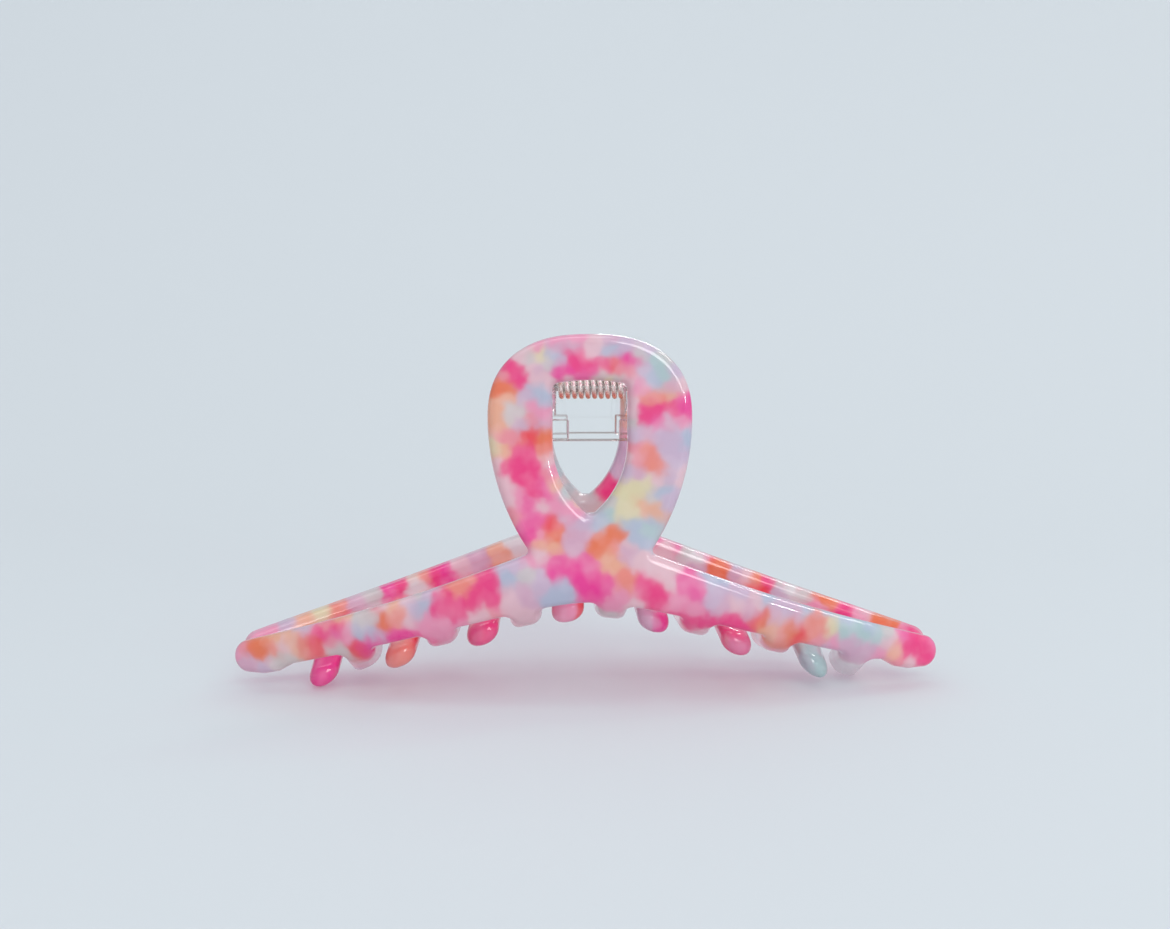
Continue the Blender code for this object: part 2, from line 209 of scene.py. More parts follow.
def tooth_length(u):
    """The length on the flat sheet that brings a tooth's tip to the other jaw."""
    turn, lean = tooth_turn(u), math.atan(LEAN)
    bowed = bow(u)[1]
    depth = sheet_depth(curl_line(u)) - bowed
    reach = MID_DEPTH + SHEET / 2 - bowed - TOOTH_SHORT
    inward = CURL_RADIUS * (math.cos(lean) - math.cos(turn))
    return CURL_RADIUS * (turn + lean) + (reach + depth - inward) / math.sin(turn)


def tooth(centre):
    """A tooth's outline from right to left: a fillet, a round tip and another fillet."""
    tip_mid = curl_line(centre) - tooth_length(centre) + TOOTH_HALF
    points = []
    for side in (1, -1):
        root = Vector((centre + side * TOOTH_HALF, lower_edge(centre + side * TOOTH_HALF)))
        out = Vector((root.x + side * MM, lower_edge(root.x + side * MM)))
        down = Vector((root.x, tip_mid))
        ends = (out, down) if side > 0 else (down, out)
        points.append(filleted(ends[0], root, ends[1], ROOT_FILLET, CORNER_STEPS))
    round_end = arc(Vector((centre, tip_mid)), TOOTH_HALF, 0, -180, TIP_STEPS)
    return points[0] + round_end + points[1]


def mirrored(points):
    """The same points on the other side, in the opposite order."""
    return [Vector((-p.x, p.y)) for p in reversed(points)]


def loop_top():
    """The right half of the loop's round top, from next to its crown down to its widest point."""
    power = 2 / LOOP_SQUARENESS
    points = []
    for i in range(1, LOOP_STEPS):
        turn = math.pi / 2 * (1 - i / LOOP_STEPS)
        across, up = math.cos(turn) ** power, math.sin(turn) ** power
        points.append(Vector((LOOP_HALF * across, LOOP_MID + LOOP_RISE * up)))
    return points


def arm_top(neck_u):
    """The upper edge of the right arm, from the neck to the start of its round end."""
    points = []
    for i in range(ARM_STEPS + 1):
        share = i / ARM_STEPS
        u = neck_u + (END_U - neck_u) * share
        points.append(Vector((u, ARM_TOP - ARM_FALL * u - ARM_SAG * math.sin(math.pi * share))))
    return points


def jaw_outline():
    """The jaw's outer edge on the flat sheet, clockwise from the top of its loop."""
    side_mid = Vector((LOOP_HALF - LOOP_SIDE_RADIUS, LOOP_MID))
    neck_turn = math.asin((LOOP_MID - NECK_HEIGHT) / LOOP_SIDE_RADIUS)
    side = arc(side_mid, LOOP_SIDE_RADIUS, 0, -math.degrees(neck_turn), SIDE_STEPS)
    arm = arm_top(side_mid.x + math.sqrt(LOOP_SIDE_RADIUS**2 - (LOOP_MID - NECK_HEIGHT) ** 2))
    corner = filleted(side[-2], arm[0], arm[1], NECK_FILLET, CORNER_STEPS)
    arm_turn = math.degrees(math.atan(ARM_FALL))
    end = arc(Vector((END_U, END_V)), END_RADIUS, 90 - arm_turn, -90, END_STEPS)
    right_top = loop_top() + side[:-1] + corner + arm[1:-1] + end
    paddle = [Vector(point) for point in PADDLE]
    crown = [Vector((0.0, LOOP_MID + LOOP_RISE))]
    return crown + right_top + paddle + teeth_edge() + mirrored(paddle) + mirrored(right_top)


def teeth_edge():
    """The jaw's lower edge from right to left, tooth by tooth."""
    first = TOOTH_COUNT // 2
    points = []
    for i in range(first, first - TOOTH_COUNT, -1):
        points += tooth(TOOTH_PITCH * (i + TEETH_OFFSET))
    return points


def jaw_hole():
    """The hole's edge on the flat sheet: a flat top with round corners, and sides that meet near its tip."""
    corner_mid = Vector((HOLE_HALF - HOLE_CORNER, HOLE_TOP - HOLE_CORNER))
    side_mid = Vector((HOLE_HALF - HOLE_SIDE_RADIUS, HOLE_SIDE_FOOT))
    tip_turn = math.acos((HOLE_TIP_HALF - side_mid.x) / HOLE_SIDE_RADIUS)
    right = arc(corner_mid, HOLE_CORNER, 90, 0, CORNER_STEPS)
    right += arc(side_mid, HOLE_SIDE_RADIUS, 0, -math.degrees(tip_turn), SIDE_STEPS)
    return right + mirrored(right)


def insets(points):
    """For each point of a closed outline, the step that moves its edges one unit to their right-hand side."""
    steps = []
    for before, here, after in zip(points[-1:] + points[:-1], points, points[1:] + points[:1]):
        ways = [(here - before).normalized(), (after - here).normalized()]
        normals = [Vector((way.y, -way.x)) for way in ways]
        middle = (normals[0] + normals[1]).normalized()
        steps.append(middle / middle.dot(normals[0]))
    return steps


def edge_radius(p):
    """The edges are rounder on the teeth than on the rest of the jaw."""
    if abs(p.x) >= PADDLE[-1][0]:
        return EDGE_ROUND
    return EDGE_ROUND + (TOOTH_ROUND - EDGE_ROUND) * smooth_share(lower_edge(p.x) - p.y, 0.0, EDGE_FADE)


def flat_jaw():
    """The flat jaw with round edges, in sheet coordinates. Its "facing" layer holds the surface's normals."""
    turns = [math.pi / 2 * i / EDGE_STEPS for i in range(EDGE_STEPS + 1)]
    levels = [(turn, 1) for turn in turns] + [(turn, -1) for turn in reversed(turns)]
    bm = bmesh.new()
    facing = bm.verts.layers.float_vector.new("facing")
    caps = {0: [], len(levels) - 1: []}
    for outline, way in ((jaw_outline(), 1), (jaw_hole(), -1)):
        rings = []
        steps = insets(outline)
        for turn, face in levels:
            ring = []
            for p, step in zip(outline, steps):
                radius = edge_radius(p)
                by = radius * (1 - math.sin(turn)) * way
                w = face * (SHEET / 2 - radius * (1 - math.cos(turn)))
                vert = bm.verts.new((p.x + step.x * by, p.y + step.y * by, w))
                out = step.normalized() * -way * math.sin(turn)
                vert[facing] = (out.x, out.y, face * math.cos(turn))
                ring.append(vert)
            rings.append(ring)
        for upper, lower in zip(rings, rings[1:]):
            for i in range(len(upper)):
                bm.faces.new((upper[i - 1], upper[i], lower[i], lower[i - 1]))
        for level in caps:
            ring = rings[level]
            caps[level] += [bm.edges.get((ring[i - 1], ring[i])) for i in range(len(ring))]
    for edges in caps.values():
        bmesh.ops.triangle_fill(bm, edges=edges, use_beauty=True)
    bmesh.ops.recalc_face_normals(bm, faces=bm.faces)
    return bm


# -------------------------------------------------------------------- forming


def smooth_share(value, low, high):
    """0 below low, 1 above high, and a smooth rise between."""
    t = min(1.0, max(0.0, (value - low) / (high - low)))
    return t * t * (3 - 2 * t)


def bow(u):
    """How the arms bend back in plan: the place across, the distance inwards and the turn there."""
    turn = max(0.0, abs(u) - FLAT_HALF) / BOW_RADIUS
    x = min(abs(u), FLAT_HALF) + BOW_RADIUS * math.sin(turn)
    return math.copysign(x, u), BOW_RADIUS * (1 - math.cos(turn)), math.copysign(turn, u)


def sheet_depth(v):
    """How far the middle of the sheet is from the middle plane, before the arms' bend."""
    return MID_DEPTH - LEAN * (v - NECK_HEIGHT)


def formed(u, v, w):
    """Where a point of the flat sheet ends up on the front jaw."""
    lean, start = math.atan(LEAN), curl_line(u)
    depth, z, turn = sheet_depth(v), v, -lean
    if v < start:
        share = 1 - (1 - CURL_LEFT) * smooth_share(abs(u), *CURL_FADE)
        radius = CURL_RADIUS / share
        run = start - v
        full = radius * (tooth_turn(u) + lean)
        turn = min(run, full) / radius - lean
        straight = max(0.0, run - full)
        depth = sheet_depth(start) - radius * (math.cos(lean) - math.cos(turn)) - straight * math.sin(turn)
        z = start - radius * (math.sin(turn) + math.sin(lean)) - straight * math.cos(turn)
    x, inward, swing = bow(u)
    fade = 1 - smooth_share(v, *BOW_FADE)
    x = u + (x - u) * fade + x * TOOTH_SPLAY * max(0.0, sheet_depth(start) - depth)
    out = depth - inward * fade + w * math.cos(turn) * math.cos(swing * fade)
    return Vector((x + w * math.cos(turn) * math.sin(swing * fade), -out, z - w * math.sin(turn)))


def cut_for_bending(bm):
    """Cuts the flat jaw along and across the line where its curl starts, so that it bends smoothly."""
    for vert in bm.verts:
        vert.co.y -= curl_line(vert.co.x)
    heights = [-i * CURL_CUT for i in range(CURL_CUTS)] + [i * BOW_CUT for i in range(1, CUTS_ABOVE)]
    across = [i * BOW_CUT for i in range(-BOW_CUTS, BOW_CUTS + 1)]
    cuts = [((0, y, 0), (0, 1, 0)) for y in heights] + [((x, 0, 0), (1, 0, 0)) for x in across]
    for point, normal in cuts:
        geom = list(bm.verts) + list(bm.edges) + list(bm.faces)
        bmesh.ops.bisect_plane(bm, geom=geom, dist=TINY, plane_co=point, plane_no=normal)
    for vert in bm.verts:
        vert.co.y += curl_line(vert.co.x)
    bmesh.ops.triangulate(bm, faces=bm.faces)


def formed_normal(u, v, w, facing):
    """The formed surface's normal, from the flat one and how the forming stretches the space round it."""
    here = formed(u, v, w)
    columns = [formed(u + TINY, v, w) - here, formed(u, v + TINY, w) - here, formed(u, v, w + TINY) - here]
    stretch = Matrix(columns).transposed() * (1 / TINY)
    return (stretch.inverted_safe().transposed() @ facing).normalized()


def make_jaws():
    """Both jaws, formed from the same flat sheet. Their "sheet" layer keeps each point's place on it."""
    bm = flat_jaw()
    cut_for_bending(bm)
    facing = bm.verts.layers.float_vector["facing"]
    sheet = bm.verts.layers.float_vector.new("sheet")
    normals = []
    for vert in bm.verts:
        flat = vert.co.copy()
        vert[sheet] = flat
        normals.append(formed_normal(*flat, Vector(vert[facing])))
        vert.co = formed(*flat)
    mesh = bpy.data.meshes.new("front_jaw_fine")
    bm.to_mesh(mesh)
    bm.free()
    half_turn = Matrix.Rotation(math.pi, 4, "Z")
    rear = mesh.copy()
    rear.name = "rear_jaw_fine"
    rear.transform(half_turn)
    for data, way in ((mesh, Matrix.Identity(4)), (rear, half_turn)):
        data.shade_smooth()
        data.normals_split_custom_set_from_vertices([way.to_3x3() @ n for n in normals])
    front = bpy.data.objects.new("front_jaw_fine", mesh)
    back = bpy.data.objects.new("rear_jaw_fine", rear)
    for obj in (front, back):
        bpy.context.scene.collection.objects.link(obj)
    return front, back


# ---------------------------------------------------------------------- hinge


def sheet_inside(z):
    """How far the loop's inner face is from the middle plane between the jaws, at height z."""
    return sheet_depth(z) - SHEET / 2 * math.sqrt(1 + LEAN**2)


def prism(profile, left, right):
    """A solid of constant section along X. The profile is a list of (y, z) points."""
    bm = bmesh.new()
    ends = [[bm.verts.new((x, y, z)) for y, z in profile] for x in (left, right)]
    for i in range(len(profile)):
        bm.faces.new((ends[0][i - 1], ends[0][i], ends[1][i], ends[1][i - 1]))
    bm.faces.new(ends[0])
    bm.faces.new(reversed(ends[1]))
    bmesh.ops.recalc_face_normals(bm, faces=bm.faces)
    return bm


def plate_profile(side, near, far, low, high):
    """A slab along the sheet: near and far are its faces' distances from the sheet's inner face."""
    corners = ((near, low), (near, high), (far, high), (far, low))
    return [(side * (sheet_inside(z) - gap), z) for gap, z in corners]


def ear_profile(side, low, high):
    """An ear's side view: the knuckle's round end, widening to the plate."""
    back = BOND_GAP + PLATE / 2
    top = (side * (sheet_inside(high) - back), high)
    bottom = (side * (sheet_inside(low) - back), low)
    lean_down = math.atan2(bottom[1] - HINGE.z, side * bottom[0])
    start, end = math.pi / 2, 3 * math.pi / 2 + lean_down + EAR_WRAP
    knuckle = []
    for i in range(ROUND_STEPS // 2 + 1):
        turn = start + (end - start) * i / (ROUND_STEPS // 2)
        knuckle.append((side * KNUCKLE_RADIUS * math.cos(turn), HINGE.z + KNUCKLE_RADIUS * math.sin(turn)))
    return [top] + knuckle + [bottom]


def circle(radius):
    """Points (y, z) on a circle round the hinge axis."""
    turns = [2 * math.pi * i / ROUND_STEPS for i in range(ROUND_STEPS)]
    return [(radius * math.cos(t), HINGE.z + radius * math.sin(t)) for t in turns]


def object_of(name, bm):
    """An object in the scene that holds the mesh."""
    mesh = bpy.data.meshes.new(name)
    bm.to_mesh(mesh)
    bm.free()
    obj = bpy.data.objects.new(name, mesh)
    bpy.context.scene.collection.objects.link(obj)
    return obj


def rounded(bm):
    """The same solid with round edges, whose faces take material slot 1 to mark them."""
    edges = [edge for edge in bm.edges if edge.calc_face_angle() > CREASE]
    bmesh.ops.bevel(bm, geom=edges, offset=BRACKET_ROUND, segments=3, profile=0.5, affect="EDGES", material=1)
    return bm


def joined(name, solids, cutter):
    """One mesh from overlapping solids, less the cutter. Its "rounded" layer marks the round edges."""
    body = object_of(name, solids[0])
    tools = []
    for solid, operation in [(made, "UNION") for made in solids[1:]] + [(cutter, "DIFFERENCE")]:
        tool = object_of(name + "_tool", solid)
        cut = body.modifiers.new("cut", "BOOLEAN")
        cut.operation = operation
        cut.object = tool
        tools.append(tool)
    for obj in [body] + tools:
        obj.data.materials.append(None)
        obj.data.materials.append(None)
    graph = bpy.context.evaluated_depsgraph_get()
    mesh = bpy.data.meshes.new_from_object(body.evaluated_get(graph))
    for obj in [body] + tools:
        bpy.data.objects.remove(obj, do_unlink=True)
    marks = mesh.attributes.new("rounded", "FLOAT", "FACE")
    for face in mesh.polygons:
        marks.data[face.index].value = face.material_index
        face.material_index = 0
    mesh.materials.clear()
    mesh.shade_smooth()
    mesh.set_sharp_from_angle(angle=SHARP)
    made = bpy.data.objects.new(name, mesh)
    bpy.context.scene.collection.objects.link(made)
    even = made.modifiers.new("even_shading", "WEIGHTED_NORMAL")
    even.keep_sharp = True
    return made


def make_bracket(name, side, ear):
    """A clear bracket: a plate bonded to the jaw, two feet at its lower corners and two eared knuckles."""
    low, high = HINGE.z - PLATE_BELOW, HINGE.z + PLATE_ABOVE
    left, right = HINGE.x - PLATE_HALF, HINGE.x + PLATE_HALF
    plate = plate_profile(side, BOND_GAP, BOND_GAP + PLATE, low, high)
    solids = [rounded(prism(plate, left, right))]
    foot_near, foot_far = BOND_GAP + PLATE / 2, BOND_GAP + PLATE + FOOT_STANDS
    for a, b in ((left, FOOT_ENDS[0]), (FOOT_ENDS[1], right)):
        foot = plate_profile(side, foot_near, foot_far, low, low + FOOT_HEIGHT)
        solids.append(rounded(prism(foot, a, b)))
    for way in (-1, 1):
        a, b = sorted(HINGE.x + way * face for face in ear)
        profile = ear_profile(side, HINGE.z - EAR_BELOW, HINGE.z + KNUCKLE_RADIUS)
        solids.append(rounded(prism(profile, a, b)))
    return joined(name, solids, prism(circle(BORE_RADIUS), left - MM, right + MM))


def make_pin():
    """A plain pin with rounded ends."""
    rings = []
    for i in range(DOME_STEPS + 1):
        turn = math.pi / 2 * i / DOME_STEPS
        x = PIN_DOME * (1 - math.cos(turn)) - PIN_HALF
        rings.append((x, PIN_RADIUS - PIN_DOME * (1 - math.sin(turn))))
    rings += [(-x, radius) for x, radius in reversed(rings)]
    bm = bmesh.new()
    loops = [[bm.verts.new((HINGE.x + x, y, z)) for y, z in circle(radius)] for x, radius in rings]
    for a, b in zip(loops, loops[1:]):
        for i in range(ROUND_STEPS):
            bm.faces.new((a[i - 1], a[i], b[i], b[i - 1]))
    bm.faces.new(loops[0])
    bm.faces.new(reversed(loops[-1]))
    bmesh.ops.recalc_face_normals(bm, faces=bm.faces)
    pin = object_of("pin_fine", bm)
    pin.data.shade_smooth()
    pin.data.set_sharp_from_angle(angle=SHARP)
    return pin


def spring_path():
    """The wire's centre line: the front leg, the coil and the rear leg."""
    contact = sheet_inside(HINGE.z + LEG_RISE) - BOND_GAP - WIRE_RADIUS
    left, right = HINGE.x - COIL_HALF, HINGE.x + COIL_HALF
    tip = Vector((left, -contact, HINGE.z + LEG_RISE))
    knee = tip + Vector((0, -LEAN, -1)).normalized() * LEG_FLAT
    leg = [tip, knee, Vector((left, -COIL_RADIUS - LEG_FOOT[0], HINGE.z + LEG_FOOT[1]))]
    steps = int(COIL_TURNS * COIL_STEPS)
    coil = []
    for i in range(steps + 1):
        turn = math.pi + 2 * math.pi * COIL_TURNS * i / steps
        x = left + (right - left) * i / steps
        coil.append(Vector((x, COIL_RADIUS * math.cos(turn), HINGE.z + COIL_RADIUS * math.sin(turn))))
    other = [Vector((2 * HINGE.x - p.x, -p.y, p.z)) for p in reversed(leg)]
    return leg + coil + other


def make_spring():
    """A round wire along the spring's centre line."""
    path = spring_path()
    ways = [(b - a).normalized() for a, b in zip(path, path[1:])]
    ways = [ways[0]] + [(a + b).normalized() for a, b in zip(ways, ways[1:])] + [ways[-1]]
    across = ways[0].orthogonal().normalized()
    bm = bmesh.new()
    rings = []
    for i, (point, way) in enumerate(zip(path, ways)):
        if i:
            across.rotate(ways[i - 1].rotation_difference(way))
        ring = []
        for k in range(WIRE_SIDES):
            arm = Matrix.Rotation(2 * math.pi * k / WIRE_SIDES, 3, way) @ across
            ring.append(bm.verts.new(point + arm * WIRE_RADIUS))
        rings.append(ring)
    for a, b in zip(rings, rings[1:]):
        for k in range(WIRE_SIDES):
            bm.faces.new((a[k - 1], a[k], b[k], b[k - 1]))
    bm.faces.new(rings[0])
    bm.faces.new(reversed(rings[-1]))
    bmesh.ops.recalc_face_normals(bm, faces=bm.faces)
    spring = object_of("spring_fine", bm)
    spring.data.shade_smooth()
    spring.data.set_sharp_from_angle(angle=WIRE_SHARP)
    return spring


# ------------------------------------------------------------------ materials


class Nodes:
    """A material's node tree, with one short call for each node."""

    def __init__(self, name):
        self.material = bpy.data.materials.new(name)
        self.material.use_nodes = True
        self.tree = self.material.node_tree
        self.shader = self.tree.nodes["Principled BSDF"]
        self.output = self.tree.nodes["Material Output"]

    def add(self, kind, inputs=(), **settings):
        node = self.tree.nodes.new("ShaderNode" + kind)
        for key, value in settings.items():
            setattr(node, key, value)
        pairs = inputs.items() if isinstance(inputs, dict) else enumerate(inputs)
        for key, value in pairs:
            self.give(node.inputs[key], value)
        return node

    def give(self, socket, value):
        if isinstance(value, bpy.types.NodeSocket):
            self.tree.links.new(value, socket)
        elif value is not None:
            socket.default_value = value

    def math(self, operation, *inputs):
        return self.add("Math", inputs, operation=operation).outputs[0]

    def vector(self, operation, *inputs):
        node = self.add("VectorMath", inputs, operation=operation)
        return node.outputs["Value" if operation in ("DISTANCE", "LENGTH", "DOT_PRODUCT") else "Vector"]

    def noise(self, place, scale, detail):
        """Cloud-like noise, from 0 to 1 round a middle of 0.5."""
        return self.add("TexNoise", {"Vector": place, "Scale": scale, "Detail": detail})

    def spread(self, value, low, high, to_low, to_high):
        """The value, with low..high stretched to to_low..to_high and held at its ends."""
        return self.add("MapRange", (value, low, high, to_low, to_high)).outputs[0]

    def mixed(self, share, first, second):
        """A colour between two others. Inputs 6 and 7 and output 2 are the node's colour sockets."""
        return self.add("Mix", {"Factor": share, 6: first, 7: second}, data_type="RGBA").outputs[2]

    def bump(self, height, strength, distance):
        return self.add("Bump", {"Height": height, "Strength": strength, "Distance": distance}).outputs[0]

    def surface(self, **values):
        """Sets the main shader's inputs, named in lower case with underscores."""
        for key, value in values.items():
            self.give(self.shader.inputs[key.replace("_", " ").title().replace("Ior", "IOR")], value)

    def with_light_shadow(self, body, shadow_tint):
        """The finished material: the body as seen, while shadow rays pass through it and take the tint."""
        tint = self.add("BsdfTransparent", (shadow_tint,)).outputs[0]
        shadow_ray = self.add("LightPath").outputs["Is Shadow Ray"]
        self.give(self.output.inputs["Surface"], self.add("MixShader", (shadow_ray, body, tint)).outputs[0])
        return self.material


def linear(red, green, blue):
    """A colour given as on a screen, 0 to 255, in linear light."""
    def one(value):
        value /= 255
        return value / 12.92 if value <= 0.04045 else ((value + 0.055) / 1.055) ** 2.4
    return (one(red), one(green), one(blue))


CHIP_COLOURS = {
    "hot": linear(222, 62, 131),
    "magenta": linear(222, 55, 147),
    "rose": linear(220, 100, 159),
    "pink": linear(220, 150, 179),
    "pale": linear(213, 185, 193),
    "salmon": linear(219, 144, 157),
    "red": linear(222, 72, 82),
    "orange": linear(219, 118, 80),
    "coral": linear(221, 138, 126),
    "peach": linear(219, 169, 143),
    "cream": linear(208, 204, 168),
    "mauve": linear(199, 166, 187),
    "lilac": linear(191, 176, 197),
    "blue": linear(169, 184, 202),
    "aqua": linear(166, 193, 193),
    "grey": linear(192, 192, 191),
    "clear": linear(208, 213, 213),
}
